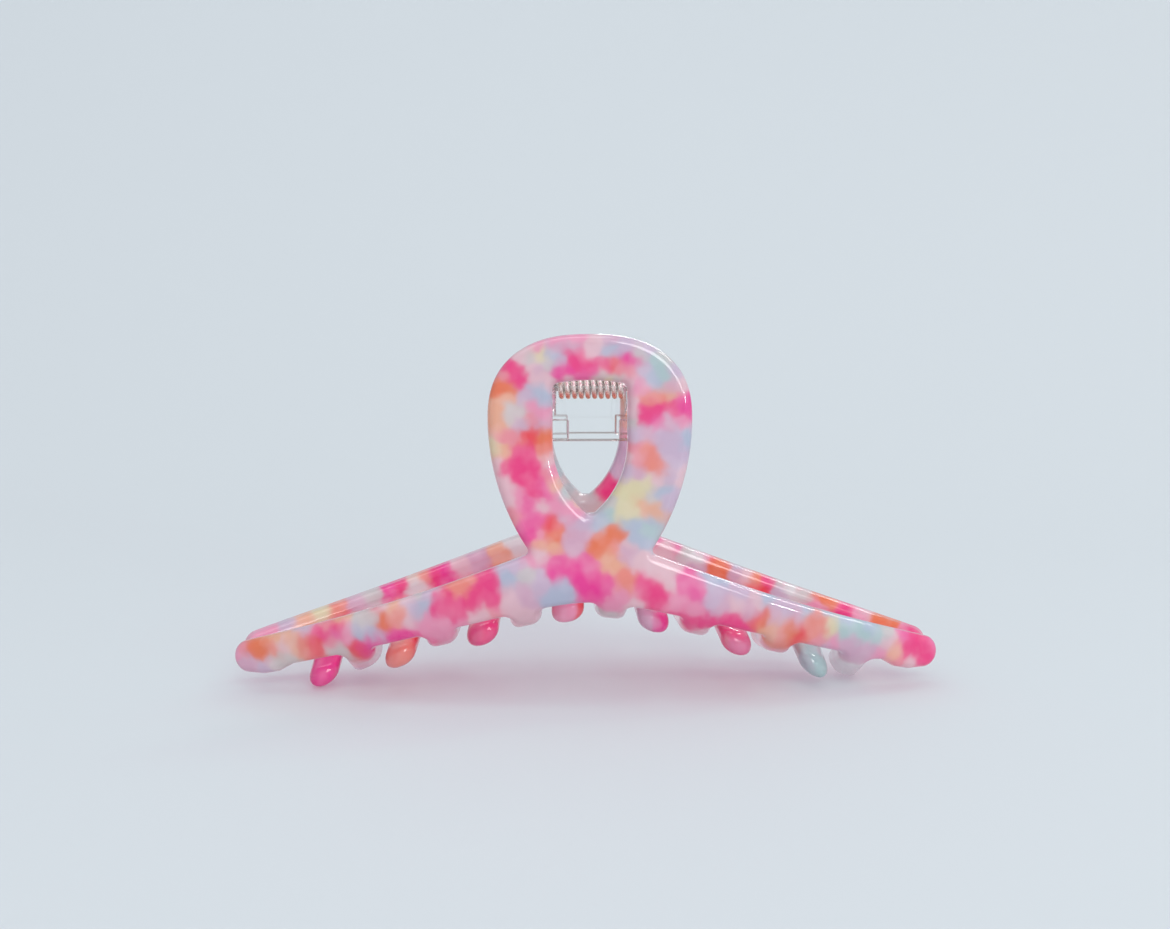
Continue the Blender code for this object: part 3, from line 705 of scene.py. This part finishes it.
# Where the pressed chips lie, in millimetres along and up the flat sheet.
FRONT_CHIPS = {
    "hot": [
        (7.8, 18.2), (9.2, 17.4), (10.0, 16.4), (-15.4, 18.9), (-14.3, 17.2), (-12.0, 50.4), (-11.0, 49.5),
        (-10.2, 48.9), (-2.4, 52.2), (-2.3, 51.1), (-0.6, 51.2), (0.8, 50.8), (2.2, 50.7), (8.2, 44.0),
        (10.0, 44.2), (12.2, 43.9), (8.1, 43.0), (-9.4, 38.3), (-10.4, 37.0), (-11.9, 36.2), (-10.8, 35.2),
        (-9.0, 35.7), (-8.7, 34.0), (-8.3, 32.3), (12.2, 13.7), (14.2, 13.2), (16.2, 13.0), (18.2, 13.4),
        (20.2, 13.0), (22.0, 12.6), (23.4, 12.2), (50.2, 6.8), (52.2, 7.0), (54.4, 6.4), (52.8, 5.2),
        (-42.0, 10.3), (-40.6, 10.4), (-38.0, 11.5), (-34.4, 9.1), (-25.5, 10.2), (-22.4, 15.1),
        (-20.6, 15.5), (-18.9, 15.7), (-20.0, 14.4), (-17.3, 17.2),
    ],
    "magenta": [
        (-3.6, 20.5), (-1.4, 19.3), (0.5, 18.9), (0.2, 17.2), (2.0, 18.1), (-4.6, 49.9), (-2.9, 49.8),
        (5.0, 51.9), (14.2, 44.3), (13.4, 45.3), (-9.0, 25.6), (-5.4, 21.1), (-2.2, 21.0), (-33.0, 9.6),
        (-31.6, 9.9), (-29.6, 11.0), (-28.1, 10.9), (-26.6, 10.9),
    ],
    "rose": [
        (-4.9, 21.9), (-0.2, 21.2), (13.8, 18.3), (15.8, 17.2), (-1.4, 49.4), (6.3, 51.3), (9.6, 42.5),
        (-7.1, 33.3), (-6.6, 32.2), (-8.8, 28.5), (-9.2, 26.8), (-7.6, 27.6), (-9.0, 30.4), (0.5, 49.8),
        (49.3, 8.5), (55.6, 6.9), (-38.6, 10.3),
    ],
    "pink": [
        (4.5, 16.9), (3.0, 15.9), (12.6, 15.7), (15.5, 15.1), (-9.0, 22.0), (-8.0, 53.9), (-5.0, 54.6),
        (-2.0, 54.9), (6.8, 47.7), (8.2, 47.3), (-8.3, 44.7), (-7.2, 43.3), (-5.2, 30.4), (-3.5, 29.7),
        (-2.4, 28.7), (-5.1, 35.4), (-10.3, 31.2), (-7.0, 25.9), (13.8, 42.4), (37.2, 9.2), (45.2, 6.1),
        (-55.9, 5.7), (-36.5, 10.5), (-24.2, 12.7), (-22.5, 12.0), (-22.2, 13.6), (-24.9, 11.5),
        (-21.0, 10.9), (-19.2, 12.4),
    ],
    "pale": [
        (7.6, 22.2), (9.6, 20.6), (-12.0, 16.6), (-10.4, 14.9), (-16.6, 13.8), (-7.2, 22.9), (6.6, 16.0),
        (11.4, 18.8), (11.0, 20.8), (-10.4, 52.4), (-8.8, 50.6), (-8.0, 48.9), (-6.0, 48.6), (-3.0, 48.4),
        (1.0, 54.4), (0.4, 52.7), (5.6, 48.4), (13.3, 48.4), (6.2, 44.6), (5.7, 46.0), (-7.4, 30.2),
        (-14.0, 36.0), (-13.0, 33.6), (-12.1, 31.0), (-5.8, 37.0), (13.3, 34.0), (9.9, 33.9), (5.4, 37.1),
        (5.6, 24.3), (21.4, 15.3), (25.0, 15.5), (46.8, 8.0), (-47.1, 8.4), (-27.0, 13.2), (-31.0, 15.3),
        (-27.2, 16.6), (17.3, 11.0), (51.2, 4.1),
    ],
    "salmon": [
        (-14.0, 13.6), (4.2, 50.5), (5.9, 49.9), (-12.9, 49.1), (-9.0, 43.1), (-11.0, 40.7), (-12.6, 40.4),
        (-11.9, 28.8), (6.6, 38.8), (7.1, 37.4), (-6.1, 34.2), (34.7, 9.6), (48.5, 5.0), (-54.3, 6.8),
        (-39.0, 9.4), (-40.4, 12.0), (-32.6, 14.4), (12.6, 12.0),
    ],
    "red": [
        (-8.4, 40.5), (-9.4, 40.2), (-6.1, 27.1), (-5.1, 26.9), (3.2, 50.8), (24.9, 13.4), (31.7, 10.9),
        (-42.5, 9.0), (-41.1, 8.7), (-35.7, 8.7),
    ],
    "orange": [
        (-13.5, 47.7), (-12.4, 47.4), (-6.9, 40.4), (-4.7, 26.1), (-5.5, 25.7), (3.0, 25.8), (4.3, 25.7),
        (2.3, 24.8), (1.1, 24.4), (2.0, 23.5), (25.6, 12.9), (30.4, 11.4), (-52.9, 7.3), (-51.2, 7.0),
        (-50.4, 7.9), (-30.6, 12.5),
    ],
    "coral": [
        (5.0, 19.1), (8.3, 46.4), (10.1, 46.2), (8.1, 38.2), (8.4, 36.9), (9.4, 36.1), (10.4, 35.5),
        (-6.6, 38.6), (3.7, 24.5), (28.9, 10.9), (33.4, 12.3), (33.2, 10.9), (35.4, 11.8), (-48.8, 7.6),
        (-43.8, 8.5), (-29.3, 13.1), (-28.5, 13.5), (-19.5, 17.6), (-18.4, 18.4),
    ],
    "peach": [
        (2.9, 21.2), (2.6, 22.4), (-12.3, 46.0), (-14.1, 44.5), (-14.0, 43.0), (-12.9, 42.0), (-5.5, 33.3),
        (-13.1, 38.0), (-7.3, 24.8), (-5.7, 24.1), (-1.9, 31.3), (7.3, 30.3), (8.6, 29.8), (9.4, 29.1),
        (11.7, 46.5), (26.3, 11.6), (27.6, 11.4), (47.7, 6.8), (-50.0, 8.9), (-48.3, 9.2), (-46.1, 9.4),
        (-45.1, 8.2), (-38.5, 12.7), (-36.9, 13.1), (-29.6, 14.8),
    ],
    "cream": [
        (-7.4, 52.3), (-14.3, 38.7), (4.4, 32.4), (5.9, 33.0), (7.2, 32.2), (8.2, 33.3), (4.8, 30.6),
        (6.1, 30.1), (4.5, 29.0), (5.9, 28.8), (2.4, 48.5), (36.7, 11.1),
    ],
    "mauve": [
        (5.4, 23.4), (-9.8, 17.3), (-5.0, 53.5), (-2.6, 53.6), (3.0, 54.5), (-7.5, 50.1), (12.0, 47.4),
        (11.4, 42.5), (8.4, 41.1), (-7.2, 42.2), (7.2, 34.9), (-2.6, 24.4), (-3.5, 25.0), (-0.8, 25.5),
        (-2.3, 26.2), (-3.9, 28.1), (24.0, 14.2), (27.4, 13.3), (40.0, 8.5), (42.2, 7.9),
        (44.2, 7.2), (-54.7, 4.8), (-52.9, 4.9), (31.0, 12.9), (19.4, 15.0),
    ],
    "lilac": [
        (-7.8, 19.2), (-11.2, 21.4), (-4.7, 51.1), (5.2, 53.6), (8.2, 53.2), (8.1, 50.2), (12.6, 49.9),
        (-9.9, 46.5), (10.4, 40.5), (12.5, 40.6), (11.4, 38.5), (12.6, 36.8), (11.6, 34.7), (5.4, 35.3),
        (6.6, 40.6), (-1.4, 27.3), (-0.1, 27.8), (11.9, 31.2), (-10.3, 42.0), (18.6, 17.2), (18.2, 15.6),
        (22.4, 16.7), (29.2, 14.0), (36.2, 8.0), (-50.6, 4.8), (-45.3, 11.0), (-43.6, 10.9), (-31.0, 10.8),
        (-24.5, 16.7), (-26.3, 15.3),
    ],
    "blue": [
        (-3.8, 17.8), (-5.2, 17.1), (-12.0, 19.4), (-5.6, 52.3), (2.5, 52.5), (3.5, 53.3), (9.0, 49.3),
        (9.5, 48.4), (-8.1, 46.9), (-7.0, 46.2), (14.3, 40.3), (10.8, 32.4), (7.0, 27.0), (5.5, 27.0),
        (6.4, 25.6), (7.5, 24.6), (8.9, 28.1), (1.5, 28.6), (1.0, 27.4), (18.4, 18.8), (26.2, 15.8),
        (32.6, 13.3), (36.4, 13.0), (40.0, 12.1), (43.8, 10.9), (-34.6, 11.1), (-32.6, 10.9), (-25.2, 15.3),
    ],
    "aqua": [
        (9.2, 51.2), (10.1, 50.4), (11.1, 49.3), (8.3, 26.7), (-2.9, 31.8), (-3.5, 32.7), (2.7, 28.9),
        (38.6, 10.5), (40.8, 10.8), (42.2, 9.7), (44.7, 9.0),
    ],
    "grey": [
        (2.6, 13.5), (2.6, 10.0), (-9.4, 19.6), (-9.2, 51.8), (-6.4, 50.9), (1.6, 49.3), (3.5, 49.1),
        (7.4, 52.4), (11.3, 52.0), (-11.6, 44.2), (-11.9, 43.0), (-9.9, 43.9), (6.1, 42.4), (0.5, 30.2),
        (-1.0, 31.0), (3.1, 30.4), (0.8, 29.3), (8.7, 31.6), (-48.1, 5.4), (-46.0, 6.6), (-38.6, 8.4),
        (-37.3, 8.4), (-34.0, 12.8), (-32.9, 13.5), (-25.8, 17.2), (46.6, 9.8), (-35.2, 13.2),
    ],
    "clear": [(41.4, 3.0), (41.2, 0.0), (41.0, -3.0)],
}
REAR_CHIPS = {
    "hot": [
        (-30.7, 14.7), (-43.6, 10.8), (-43.8, 9.4), (-54.5, 8.1), (25.5, 16.2), (31.2, 14.6), (-22.6, 19.0),
        (-22.4, 1.0), (-22.4, -3.0), (27.0, 3.0), (15.4, 0.0), (15.2, -3.6), (-3.0, 30.8), (-2.4, 32.4),
    ],
    "magenta": [
        (23.6, 16.8), (33.4, 14.1), (41.9, 2.0), (41.7, -2.0), (41.8, -5.0), (-11.2, 1.0), (-10.8, -3.0),
    ],
    "rose": [(17.6, 2.0), (-24.6, 3.0), (-24.4, -2.0), (-8.4, 2.0), (-12.2, 22.0), (-15.0, 21.3)],
    "pink": [(-45.5, 9.6), (-52.8, 7.0), (4.2, 0.0), (4.4, -4.0), (53.0, 9.2), (-38.5, 10.6), (-20.0, 19.4)],
    "pale": [
        (-27.0, 15.8), (-34.0, 14.7), (-46.8, 10.9), (21.4, 17.8), (30.6, 1.0), (-12.0, 19.8), (-13.5, 20.0),
        (-55.5, 9.6),
    ],
    "salmon": [(29.4, 2.0), (29.2, -1.6), (3.2, 3.0), (17.8, -2.0), (-36.6, 14.2)],
    "red": [(-29.4, 13.4), (1.4, -1.0), (27.2, -2.6)],
    "orange": [
        (-22.2, 17.3), (-22.9, 15.8), (-28.7, 15.1), (-41.0, 12.4), (-39.6, 12.9), (-49.6, 9.7), (-51.0, 9.2),
    ],
    "coral": [(1.6, 2.4), (28.6, -4.2), (27.4, 16.4), (42.0, 12.2)],
    "peach": [(14.2, 19.5), (47.0, 10.5), (29.2, 16.4)],
    "cream": [(44.8, 11.0)],
    "mauve": [(-18.5, 16.4), (18.5, 18.3), (38.0, 12.6), (-34.0, 2.0), (-25.0, 15.8), (-8.4, -4.0)],
    "lilac": [(-33.0, 12.6), (50.4, 10.0), (-8.6, -1.0), (-5.0, 33.6)],
    "blue": [(-25.8, 17.8)],
    "aqua": [(-36.2, 0.0), (-36.0, -3.6), (2.8, 29.6), (4.8, 33.8)],
    "grey": [
        (-17.6, 19.9), (-32.4, 15.0), (-36.6, 12.8), (-38.0, 3.0), (36.0, 13.2), (0.0, 28.6), (3.4, 31.2),
        (5.4, 36.0), (1.6, 29.0),
    ],
    "clear": [(-18.7, 18.6), (12.4, 20.8), (28.8, 14.5), (-34.5, 13.6)],
}
CHIP_SOFTNESS = 0.38  # mm: how far chips melt into each other
CHIP_SLANT = 0.3  # how fast the pattern changes through the sheet, against along it
CHIP_WOBBLE = (2.0, 2.0, 0.0)  # mm: how far noise moves the chips' borders
FILLER_REACH = 3.1  # mm, past which a placed chip gives way to the scattered ones
FILLER_COLOURS = ("pale", "hot", "peach", "lilac", "pink", "orange", "blue", "rose")
ACETATE_SHADOW = (0.92, 0.76, 0.83, 1.0)  # the light that one wall of the sheet lets through
ACETATE_CLOUD = (0.86, 0.8, 0.84, 1.0)
# Painted reflection: the pale colour the acetate turns towards its rims, where its surface faces away from
# the camera.
ACETATE_PAINTED_REFLECTION = (0.86, 0.87, 0.92, 1.0)
CLEAR_FACE = (0.985, 0.99, 0.99, 1.0)
# Painted shade: the darker colour given to the clear plastic's rounded edges.
CLEAR_EDGE_SHADE = (0.5, 0.43, 0.4, 1.0)
CLEAR_SHADOW = (0.93, 0.94, 0.95, 1.0)
STEEL = linear(226, 224, 220)
COPPER = linear(240, 152, 108)
# Painted sheen: the copper's paler colour on its upper side, standing in for the light from above.
PAINTED_SHEEN_COPPER = linear(255, 250, 240)
PAINTED_SHEEN_FROM, PAINTED_SHEEN_TO = -0.7, -0.2  # the upward part of a surface's normal, where the painted sheen starts and is full
METAL_DARKEST = 0.72  # of its colour, in the dark parts of its uneven tone


def scattered_chips(nodes, place, seed):
    """Chips in random colours, for wherever none is listed."""
    look = {"Vector": place, "Scale": 0.24, "Smoothness": 0.6, "W": seed}
    cells = nodes.add("TexVoronoi", feature="SMOOTH_F1", voronoi_dimensions="4D")
    for key, value in look.items():
        nodes.give(cells.inputs[key], value)
    colours = [(*CHIP_COLOURS[name], 1.0) for name in FILLER_COLOURS]
    for channel in nodes.add("SeparateColor", (cells.outputs["Color"],)).outputs:
        pick = nodes.spread(channel, 0.25, 0.75, 0.0, 1.0)
        colours = [nodes.mixed(pick, a, b) for a, b in zip(colours[::2], colours[1::2])]
    return colours[0]


def chip_colour(nodes, place, chips, seed):
    """The sheet's colour: at each point, that of the nearest chip, with soft borders between chips."""
    wobble = nodes.vector("SUBTRACT", nodes.noise(place, 0.5, 1.0).outputs["Color"], (0.5, 0.5, 0.5))
    place = nodes.vector("MULTIPLY_ADD", wobble, CHIP_WOBBLE, place)
    scattered = scattered_chips(nodes, place, seed)
    least = math.exp(-FILLER_REACH / CHIP_SOFTNESS)
    colour = nodes.vector("MULTIPLY", scattered, (least, least, least))
    total = least
    for name, centres in chips.items():
        weight = 0.0
        for u, v in centres:
            distance = nodes.vector("DISTANCE", place, (u, v, 0.0))
            weight = nodes.math("ADD", nodes.math("POWER", math.exp(-1 / CHIP_SOFTNESS), distance), weight)
        colour = nodes.vector("MULTIPLY_ADD", weight, CHIP_COLOURS[name], colour)
        total = nodes.math("ADD", weight, total)
    return nodes.vector("DIVIDE", colour, total)


def acetate(name, chips, seed):
    """Pressed chips of coloured acetate: glossy, cloudy, and letting some light through.

    The noises' scales are per millimetre, so that 0.3 gives clouds about 3 mm across.
    """
    nodes = Nodes(name)
    sheet = nodes.add("Attribute", attribute_name="sheet").outputs["Vector"]
    place = nodes.vector("MULTIPLY", sheet, (1 / MM, 1 / MM, CHIP_SLANT / MM))
    colour = chip_colour(nodes, place, chips, seed)
    cloud = nodes.noise(place, 0.3, 1.5).outputs[0]
    colour = nodes.mixed(nodes.spread(cloud, 0.45, 0.8, 0.0, 0.2), colour, ACETATE_CLOUD)
    facing = nodes.add("LayerWeight", {"Blend": 0.3}).outputs["Facing"]
    # Painted reflection: the colour fades to a pale tint where the surface turns away from the camera, as a
    # glossy rim would mirror the pale room.
    colour = nodes.mixed(nodes.spread(facing, 0.45, 1.0, 0.0, 0.75), colour, ACETATE_PAINTED_REFLECTION)
    scuffs = nodes.noise(place, 2.5, 5.0)
    nodes.give(scuffs.inputs["Roughness"], 0.7)
    ripple = nodes.noise(place, 0.35, 2.0).outputs[0]
    nodes.surface(
        base_color=colour,
        roughness=nodes.spread(scuffs.outputs[0], 0.3, 0.75, 0.035, 0.1),
        subsurface_weight=0.3,
        subsurface_scale=1.2 * MM,
        subsurface_radius=(1.0, 0.7, 0.7),
        coat_weight=0.6,
        coat_roughness=0.03,
        normal=nodes.bump(ripple, 0.25, 0.2 * MM),
    )
    through = nodes.add("BsdfTranslucent", (colour,)).outputs[0]
    body = nodes.add("MixShader", (0.3, nodes.shader.outputs[0], through)).outputs[0]
    return nodes.with_light_shadow(body, ACETATE_SHADOW)


def clear_plastic():
    """Moulded clear plastic: its rounded edges darkened by painted shade, with faint flow marks about 4 mm
    apart.
    """
    nodes = Nodes("clear_plastic_fine")
    where = nodes.add("TexCoord").outputs["Object"]
    edge = nodes.add("Attribute", attribute_name="rounded").outputs["Fac"]
    flow = nodes.noise(where, 260.0, 3.0).outputs[0]
    nodes.surface(
        # Painted shade darkens the rounded edges.
        base_color=nodes.mixed(edge, CLEAR_FACE, CLEAR_EDGE_SHADE),
        roughness=nodes.spread(flow, 0.35, 0.75, 0.0, 0.03),
        transmission_weight=1.0,
        ior=1.49,
        normal=nodes.bump(flow, 0.1, 0.05 * MM),
    )
    return nodes.with_light_shadow(nodes.shader.outputs[0], CLEAR_SHADOW)


def metal(name, painted_sheen, colour, roughness):
    """Drawn wire: bright, and painted paler on top as a sheen from the light above, with streaks of 0.25 mm
    and an uneven tone over 1 mm.
    """
    nodes = Nodes(name)
    where = nodes.add("TexCoord").outputs["Object"]
    up = nodes.add("SeparateXYZ", (nodes.add("NewGeometry").outputs["Normal"],)).outputs["Z"]
    # Painted sheen: the colour turns paler where the surface faces up.
    colour = nodes.mixed(nodes.spread(up, PAINTED_SHEEN_FROM, PAINTED_SHEEN_TO, 0.0, 1.0), (*colour, 1.0), (*painted_sheen, 1.0))
    dark = nodes.vector("MULTIPLY", colour, (METAL_DARKEST, METAL_DARKEST, METAL_DARKEST))
    streaks = nodes.noise(where, 4000.0, 3.0).outputs[0]
    nodes.surface(
        base_color=nodes.mixed(nodes.noise(where, 900.0, 2.0).outputs[0], dark, colour),
        roughness=nodes.spread(streaks, 0.3, 0.7, roughness - 0.07, roughness + 0.1),
        metallic=0.8,
        normal=nodes.bump(streaks, 0.15, 0.02 * MM),
    )
    return nodes.material


# ---------------------------------------------------------------------- stage


def make_floor():
    """A pale sweep: flat under the clip, then curving gently up behind it."""
    profile = [(-FLOOR_HALF, 0.0), (FLOOR_FLAT_TO, 0.0)]
    for i in range(1, SWEEP_STEPS + 1):
        turn = math.pi / 2 * i / SWEEP_STEPS
        y = FLOOR_FLAT_TO + SWEEP_RADIUS * math.sin(turn)
        profile.append((y, SWEEP_RADIUS * (1 - math.cos(turn))))
    bm = bmesh.new()
    rows = [[bm.verts.new((x, y, z)) for x in (-FLOOR_HALF, FLOOR_HALF)] for y, z in profile]
    for a, b in zip(rows, rows[1:]):
        bm.faces.new((a[0], a[1], b[1], b[0]))
    floor = object_of("floor", bm)
    floor.data.shade_smooth()
    nodes = Nodes("floor_paper")
    nodes.surface(base_color=(*linear(194, 200, 204), 1.0), roughness=0.7)
    floor.data.materials.append(nodes.material)


# Each lamp's place, the point that it faces and its two sides, in metres, its power in watts and its colour
LAMPS = {
    "window": ((1.7, 0.8, 1.9), (0.0, 0.0, 0.02), (0.16, 0.55), 9.0, (1.0, 0.99, 0.97)),
    "front_lamp": ((0.95, -1.1, 0.3), (0.0, 0.0, 0.03), (0.1, 0.14), 2.4, (1.0, 1.0, 1.0)),
    "front_sky": ((0.5, -1.2, 0.75), (0.0, 0.0, 0.03), (0.6, 1.0), 12.0, (1.0, 1.0, 1.0)),
    "back_wash": ((-0.7, 0.0, 1.9), (-0.5, 1.6, 0.7), (2.0, 0.8), 11.0, (0.97, 0.98, 1.0)),
    "rim_strip": ((0.3, 1.0, 0.6), (0.0, 0.0, 0.02), (0.5, 0.08), 2.5, (1.0, 1.0, 1.0)),
}
ROOM_COLOUR = (0.925, 0.96, 1.0, 1.0)
ROOM_STRENGTH = 0.8


def add_lamp(name, place, aim, sides, power, colour):
    light = bpy.data.lights.new(name, "AREA")
    light.shape = "RECTANGLE"
    light.size, light.size_y = sides
    light.energy = power
    light.color = colour
    lamp = bpy.data.objects.new(name, light)
    lamp.location = place
    lamp.rotation_euler = (Vector(aim) - Vector(place)).to_track_quat("-Z", "Y").to_euler()
    bpy.context.scene.collection.objects.link(lamp)
    return lamp


def make_lights(pieces):
    """A pale room with five soft lamps. The strip behind lights only the clip, to brighten its rims."""
    world = bpy.data.worlds.new("studio")
    world.use_nodes = True
    background = world.node_tree.nodes["Background"]
    background.inputs["Color"].default_value = ROOM_COLOUR
    background.inputs["Strength"].default_value = ROOM_STRENGTH
    bpy.context.scene.world = world
    lamps = {name: add_lamp(name, *settings) for name, settings in LAMPS.items()}
    clip = bpy.data.collections.new("clip")
    for piece in pieces:
        clip.objects.link(piece)
    lamps["rim_strip"].light_linking.receiver_collection = clip


def make_camera():
    camera = bpy.data.cameras.new("camera")
    camera.lens = CAMERA_LENS
    camera.clip_start = 0.01
    obj = bpy.data.objects.new("camera", camera)
    obj.rotation_euler = (math.pi / 2 - CAMERA_PITCH, 0, -CAMERA_TURN)
    right = Vector((math.cos(CAMERA_TURN), -math.sin(CAMERA_TURN), 0))
    back = Vector((-math.sin(CAMERA_TURN), -math.cos(CAMERA_TURN), 0))
    obj.location = back * CAMERA_DISTANCE - right * CAMERA_LEFT + Vector((0, 0, CAMERA_HEIGHT))
    bpy.context.scene.collection.objects.link(obj)
    bpy.context.scene.camera = obj


def stand_in(piece, node, material):
    """Puts a finished piece in the place of a plain node."""
    piece.data.materials.append(material)
    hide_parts(node)
    return piece


def main():
    front, rear = make_jaws()
    stand_in(front, "front_jaw", acetate("acetate_front", FRONT_CHIPS, 1.0))
    stand_in(rear, "rear_jaw", acetate("acetate_rear", REAR_CHIPS, 5.0))
    clear = clear_plastic()
    fork = make_bracket("front_bracket_fine", -1, FORK_EAR)
    stand_in(fork, "front_bracket", clear)
    tongue = make_bracket("rear_bracket_fine", 1, TONGUE_EAR)
    stand_in(tongue, "rear_bracket", clear)
    pin = stand_in(make_pin(), "hinge_pin", metal("pin_steel", STEEL, STEEL, 0.25))
    copper = metal("copper_wire", PAINTED_SHEEN_COPPER, COPPER, 0.22)
    spring = stand_in(make_spring(), "torsion_spring", copper)
    for piece in (front, fork, pin):
        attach(piece, "front_half")
    for piece in (rear, tongue):
        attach(piece, "rear_half")
    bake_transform(spring)
    make_floor()
    make_lights((front, rear, fork, tongue, pin, spring))
    make_camera()
    bpy.context.scene.view_settings.view_transform = "Standard"


main()
